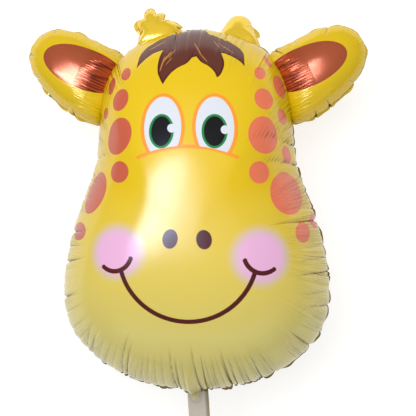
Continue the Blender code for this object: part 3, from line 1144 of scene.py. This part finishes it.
def paint_face(finish):
    """The printed face's colour, and where its inks are opaque."""
    flat = finish.map("flat")
    x, y, _ = finish.split(flat)

    def marks(measured, grow=0.0):
        return oval(finish, flat, oval_on_foil(*measured), grow)

    spots = joined(marks(spot) for spot in SPOTS).inside(EDGE_BLUR)
    # Painted light: the spots are painted a lighter coral on the +X side.
    painted_lit_coral = finish.mix(CORAL, PAINTED_LIT_CORAL, (x * PAINTED_LIT_TURN).kept_in())
    # The yellow carries a painted pale reflection of the white floor.
    colour = finish.mix(yellow_foil(finish, y), painted_lit_coral, spots)
    opaque = spots * SPOT_COVER

    for cheek in CHEEKS:
        outside = marks(cheek)
        halo = (outside - HALO_INSET).inside(HALO_BLUR)
        colour = finish.mix(colour, BLUSH, eased(halo))
        colour = finish.mix(colour, PINK, eased((outside - BLUSH_INSET).inside(BLUSH_BLUR)))
        opaque = opaque.most(halo * HALO_COVER)

    muzzle_middle, muzzle_radius = circle_through(*(foil_point(*p) for p in MUZZLE_LINE))
    under_muzzle = muzzle_radius - distance_to(finish, flat, muzzle_middle)
    line = stroke(finish, flat, MUZZLE_LINE, MUZZLE_LINE_WIDTH)
    rims = [marks(white, RIM_WIDTH).most(under_muzzle) for white in EYE_WHITES]
    orange = joined([*rims, line]).inside(SOFT_BLUR)
    colour = finish.mix(colour, ORANGE, orange)
    opaque = opaque.most(orange * ORANGE_COVER)

    for white, iris, light in zip(EYE_WHITES, IRISES, EYE_LIGHTS):
        ball = marks(white).most(under_muzzle + EYE_GAP).inside(EDGE_BLUR)
        ring = marks(iris).most(under_muzzle + EYE_GAP)
        pupil = marks(iris, -IRIS_RING).most(under_muzzle + PUPIL_GAP)
        colour = finish.mix(colour, WHITE, ball)
        colour = finish.mix(colour, GREEN, ring.inside(EDGE_BLUR))
        colour = finish.mix(colour, BLACK, pupil.inside(EDGE_BLUR))
        colour = finish.mix(colour, WHITE, marks(light).inside(EDGE_BLUR))
        opaque = opaque.most(ball)

    strokes = [stroke(finish, flat, line, SMILE_WIDTH) for line in (SMILE, *DIMPLES)]
    brown = joined([*(marks(nostril) for nostril in NOSTRILS), *strokes]).inside(EDGE_BLUR)
    colour = finish.mix(colour, DARK_BROWN, brown)

    hair = hair_mask(finish, x, y)
    hair_inside = hair.inside(EDGE_BLUR)
    colour = finish.mix(colour, DARK_BROWN, hair_inside)
    colour = finish.mix(colour, CHESTNUT, (hair + HAIR_RIM).inside(HAIR_RIM_BLUR))
    lights = joined(marks(light) for light in HAIR_LIGHTS).inside(EDGE_BLUR)
    colour = finish.mix(colour, HONEY, lights * hair_inside)
    return colour, opaque.most(brown).most(hair_inside)


METAL_SHOWING = 0.02
PRINT_ROUGHNESS, PRINT_IOR, FOLD_SHADE_STRENGTH = 0.20, 1.58, 0.65
PRINT_CREASES = {"spokes": 70.0, "start": 0.74, "depth": 0.0050}


def finish_print(finish, colour, opaque, **creases):
    """Everything but the colour of the two printed sheets."""
    # Painted shade darkens the bottoms of the sharp folds in the print's colour.
    finish.feed("Base Color", paint_fold_shade(finish, colour, FOLD_SHADE_STRENGTH))
    finish.feed("Metallic", (1.0 - opaque) * METAL_SHOWING)
    finish.feed("Roughness", pearly_roughness(finish, PRINT_ROUGHNESS, swing=0.02))
    finish.fixed(ior=PRINT_IOR)
    finish.feed("Normal", foil_creases(finish, **PRINT_CREASES, **creases))


face = Finish(FINISHES[FRONT_PRINT])
finish_print(face, *paint_face(face), lean=(-0.07, 0.03))
print("printed face", face.made, "nodes besides the Math ones")

# %% [markdown]
# ## The back
# The back is the plainer sheet: yellow with a few large spots, in the same inks. It is hidden
# in the photograph, so its spots are a guess, placed straight on the flat foil in metres.

# %% Paint the back
BACK_SPOTS = (
    (0.055, 0.215, 0.030, 0.040), (-0.070, 0.160, 0.034, 0.046), (0.125, 0.110, 0.036, 0.050),
    (-0.165, 0.060, 0.034, 0.052), (0.015, 0.085, 0.040, 0.050), (0.205, -0.010, 0.040, 0.058),
    (-0.075, -0.010, 0.042, 0.055), (0.085, -0.075, 0.044, 0.056), (-0.205, -0.100, 0.044, 0.060),
    (-0.040, -0.160, 0.044, 0.054), (0.190, -0.185, 0.044, 0.050), (-0.150, -0.255, 0.042, 0.046),
    (0.060, -0.270, 0.044, 0.046),
)
back = Finish(FINISHES[BACK_PRINT])
flat = back.map("flat")
spots = joined(
    oval(back, flat, (Vector((right, up)), Vector((half_width, 0.0)), Vector((0.0, half_height))))
    for right, up, half_width, half_height in BACK_SPOTS
).inside(EDGE_BLUR)
# The back's yellow has the same painted pale reflection of the white floor.
colour = back.mix(yellow_foil(back, back.split(flat)[1]), CORAL, spots)
finish_print(back, colour, spots * SPOT_COVER)
print("printed back", len(BACK_SPOTS), "spots")

# %% [markdown]
# ## The ears
# Each ear's front has a leaf of copper-coloured foil with little ink on it, the shiniest part
# of the balloon. Where the ear joins the head the foil is drawn together, so fine gathers run
# out from the root across the leaf. The copper is darker towards the root, and painted shade
# darkens the gathers' valleys.

# %% Paint the ears
ROOT_REACH, ROOT_BLEND = 0.074, 0.030
GATHER_RATE_ALONG, GATHER_RATE_ACROSS, GATHER_DEPTH = 14.0, 330.0, 0.0024
GATHER_SHADE_BELOW, GATHER_CONTRAST = 0.55, 7.0
EAR_METAL, LEAF_METAL = 0.12, 0.54
EAR_ROUGHNESS, LEAF_SMOOTHER = 0.20, 0.02

ear = Finish(FINISHES[EAR_FRONT])
flat = ear.map("flat")
along, across, _ = ear.split(flat)
leaf = oval(ear, flat, oval_on_foil(*EAR_PATCH, slot=EAR_FRONT)).inside(EDGE_BLUR)
near_root = ((ROOT_REACH - along) / ROOT_BLEND).kept_in()
rates = {"X": along * GATHER_RATE_ALONG, "Y": across * GATHER_RATE_ACROSS}
gathers = ear.noise(ear.node("CombineXYZ", None, rates))
# Painted shade in the valleys of the gathers near the root.
gather_shade = ((GATHER_SHADE_BELOW - gathers) * GATHER_CONTRAST).kept_in() * near_root
copper = ear.mix(ear.mix(COPPER, ROOT_COPPER, near_root), GATHER_SHADE_COPPER, gather_shade)
yellow = ear.mix(YELLOW, DARK_OLIVE, weld_mask(ear, start=1.005, blend=0.012))
# Painted shade darkens the bottoms of the sharp folds over the yellow, weld and copper.
ear.feed("Base Color", paint_fold_shade(ear, ear.mix(yellow, copper, leaf), FOLD_SHADE_STRENGTH))
ear.feed("Metallic", leaf * LEAF_METAL + EAR_METAL)
ear.feed("Roughness", leaf * -LEAF_SMOOTHER + EAR_ROUGHNESS)
ear.fixed(ior=1.6)
rim = foil_creases(ear, spokes=22.0, start=0.72, depth=0.0012)
ear.feed("Normal", ear.bump(GATHER_DEPTH, gathers * near_root, Normal=rim))
print("ear front", ear.made, "nodes besides the Math ones")

# %% [markdown]
# ## Plain foil and the neck
# The horns and the ears' backs are yellow foil with no print. More metal shows through, so
# they sparkle. The neck is unprinted and silvery, with a paler tube down its middle where the
# channel for the gas stays open, and it is duller, because it is limp and finely wrinkled.

# %% Finish the plain foil and the neck
NECK_TUBE_PIXELS = ((194.5, 392.0), (194.5, 401.0))
NECK_TUBE_HALF = 0.0105
TUBE_BLUR, TUBE_LINE_INSET, TUBE_LINE_BLUR, TUBE_LINE_STRENGTH = 0.0025, 0.0008, 0.0012, 0.5
OLIVE_SIDE, OLIVE_TURN = 0.011, 200.0
GRAIN_SCALE, GRAIN_DEPTH, GRAIN_STRENGTH = 90.0, 0.001, 0.6

plain = Finish(FINISHES[PLAIN_FOIL])
# Painted shade darkens the bottoms of the sharp folds in the plain foil.
plain.feed("Base Color", paint_fold_shade(plain, GOLD, strength=0.5))
plain.fixed(metallic=0.35, ior=1.9)
plain.feed("Roughness", pearly_roughness(plain, mean=0.17, swing=0.03))
plain.feed("Normal", foil_creases(plain, spokes=14.0, start=0.40, depth=0.0020))

neck = Finish(FINISHES[NECK_FOIL])
flat = neck.map("flat")
tube_top, tube_end = (foil_point(*pixel, slot=NECK_FOIL) for pixel in NECK_TUBE_PIXELS)
tube = oval(neck, flat, (tube_top, Vector((NECK_TUBE_HALF, 0.0)), tube_top - tube_end))
print("filling tube on the neck from", tube_top, "to", tube_end)
olive = ((neck.split(flat)[0] - OLIVE_SIDE) * OLIVE_TURN).kept_in()
colour = neck.mix(neck.mix(SILVER, OLIVE, olive), PALE_TUBE, tube.inside(TUBE_BLUR))
tube_line = (abs(tube) - TUBE_LINE_INSET).inside(TUBE_LINE_BLUR)
neck.feed("Base Color", neck.mix(colour, OLIVE, tube_line * TUBE_LINE_STRENGTH))
neck.fixed(metallic=0.1, ior=1.8)
neck.feed("Roughness", pearly_roughness(neck, mean=0.30, swing=0.05))
grain = neck.noise(neck.node("TexCoord", out=3), GRAIN_SCALE, detail=2.0)
neck.feed("Normal", neck.bump(GRAIN_DEPTH, grain, Strength=GRAIN_STRENGTH))

# %% [markdown]
# ## Hang it on the frame
# The whole envelope is one piece. It stands for the one solid of the model and rides on the
# root body, the only one there is.

# %% Ride on the frame
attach(envelope, "root")
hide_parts("giraffe_balloon")
print("one piece,", envelope.name, "on the root body")

# %% [markdown]
# ## Floor
# The balloon was photographed on white with hardly a shadow. A pale floor that glows a little
# does the same. It lies a hair under the flat back, so the two don't share one height.

# %% Lay the floor
FLOOR_GAP, FLOOR_HALF = 0.0005, 6.0
FLOOR_GREY, FLOOR_GLOW = (0.35, 0.35, 0.35, 1.0), 0.75
floor_net = bmesh.new()
bmesh.ops.create_grid(floor_net, x_segments=1, y_segments=1, size=FLOOR_HALF)
bmesh.ops.translate(floor_net, verts=floor_net.verts, vec=(0.0, 0.0, -FLOOR_GAP))
floor_mesh = bpy.data.meshes.new("floor")
floor_net.to_mesh(floor_mesh)
floor_net.free()
floor = add_object("floor", floor_mesh)
paint = bpy.data.materials.new("pale floor")
Finish(paint).fixed(base_color=FLOOR_GREY, roughness=0.8, emission_strength=FLOOR_GLOW)
floor_mesh.materials.append(paint)
print("floor", 2 * FLOOR_HALF, "m square")

# %% [markdown]
# ## Light
# Foil shows what is around it, so two jobs have their own lamps. A large key lamp and a white
# room light the inks, but the key isn't mirrored. A window shows only in reflections: it is
# the highlight on the nose and the ears. Its outline is the highlight's, so five panes build
# up the slanting left edge and the faint foot that the photograph shows.

# %% Lamps
PLAIN_WHITE = (1.0, 1.0, 1.0)
COOL_WHITE = (0.54, 0.70, 1.0)


def soft_box(name, place, target, size, radiance, shines=True, mirrored=True, tint=PLAIN_WHITE):
    """A rectangular lamp that faces the target, kept out of reflections or only in them."""
    lamp = bpy.data.lights.new(name, "AREA")
    lamp.shape = "RECTANGLE"
    lamp.size, lamp.size_y = size
    lamp.energy = radiance * math.pi * size[0] * size[1]
    lamp.color = tint
    box = add_object(name, lamp)
    forward = (Vector(target) - Vector(place)).normalized()
    across = (Vector((1.0, 0.0, 0.0)) - forward * forward.x).normalized()
    turn = Matrix((across, across.cross(forward), -forward)).transposed()
    box.matrix_world = Matrix.Translation(place) @ turn.to_4x4()
    box.visible_glossy = mirrored
    box.visible_diffuse = shines


KEY = {"place": (-0.28, 0.75, 2.5), "target": (0.0, 0.0, 0.2), "size": (2.4, 2.4)}
LOW_CARD = {"place": (0.0, -2.2, 1.2), "target": (0.0, -0.1, 0.2), "size": (4.0, 1.8)}
WINDOW_HEIGHT, WINDOW_AIM, WINDOW_SILL = 2.5, (-0.1, 0.1, 0.3), -0.085
# Each pane's upper, left and right edges and its brightness, from the sill up.
PANES = (
    ("window sill", 0.065, -1.20, -0.21, 11.0),
    ("window low", 0.215, -1.45, -0.25, 16.0),
    ("window middle", 0.350, -1.28, -0.26, 16.0),
    ("window high", 0.500, -0.88, -0.26, 16.0),
    ("window top", 0.650, -0.60, -0.26, 16.0),
)
ROOM_LIGHT = 0.30

soft_box("key", **KEY, radiance=3.9, mirrored=False)
sill = WINDOW_SILL
for name, upper, left, right, radiance in PANES:
    place = ((left + right) / 2, (sill + upper) / 2, WINDOW_HEIGHT)
    size = (right - left, upper - sill)
    soft_box(name, place, WINDOW_AIM, size, radiance, shines=False, tint=COOL_WHITE)
    sill = upper
soft_box("low card", **LOW_CARD, radiance=0.4, shines=False)

world = bpy.data.worlds.new("white room")
world.use_nodes = True
room = world.node_tree.nodes["Background"].inputs
room["Color"].default_value = (*PLAIN_WHITE, 1.0)
room["Strength"].default_value = ROOM_LIGHT
bpy.context.scene.world = world
bpy.context.scene.view_settings.view_transform = "Standard"
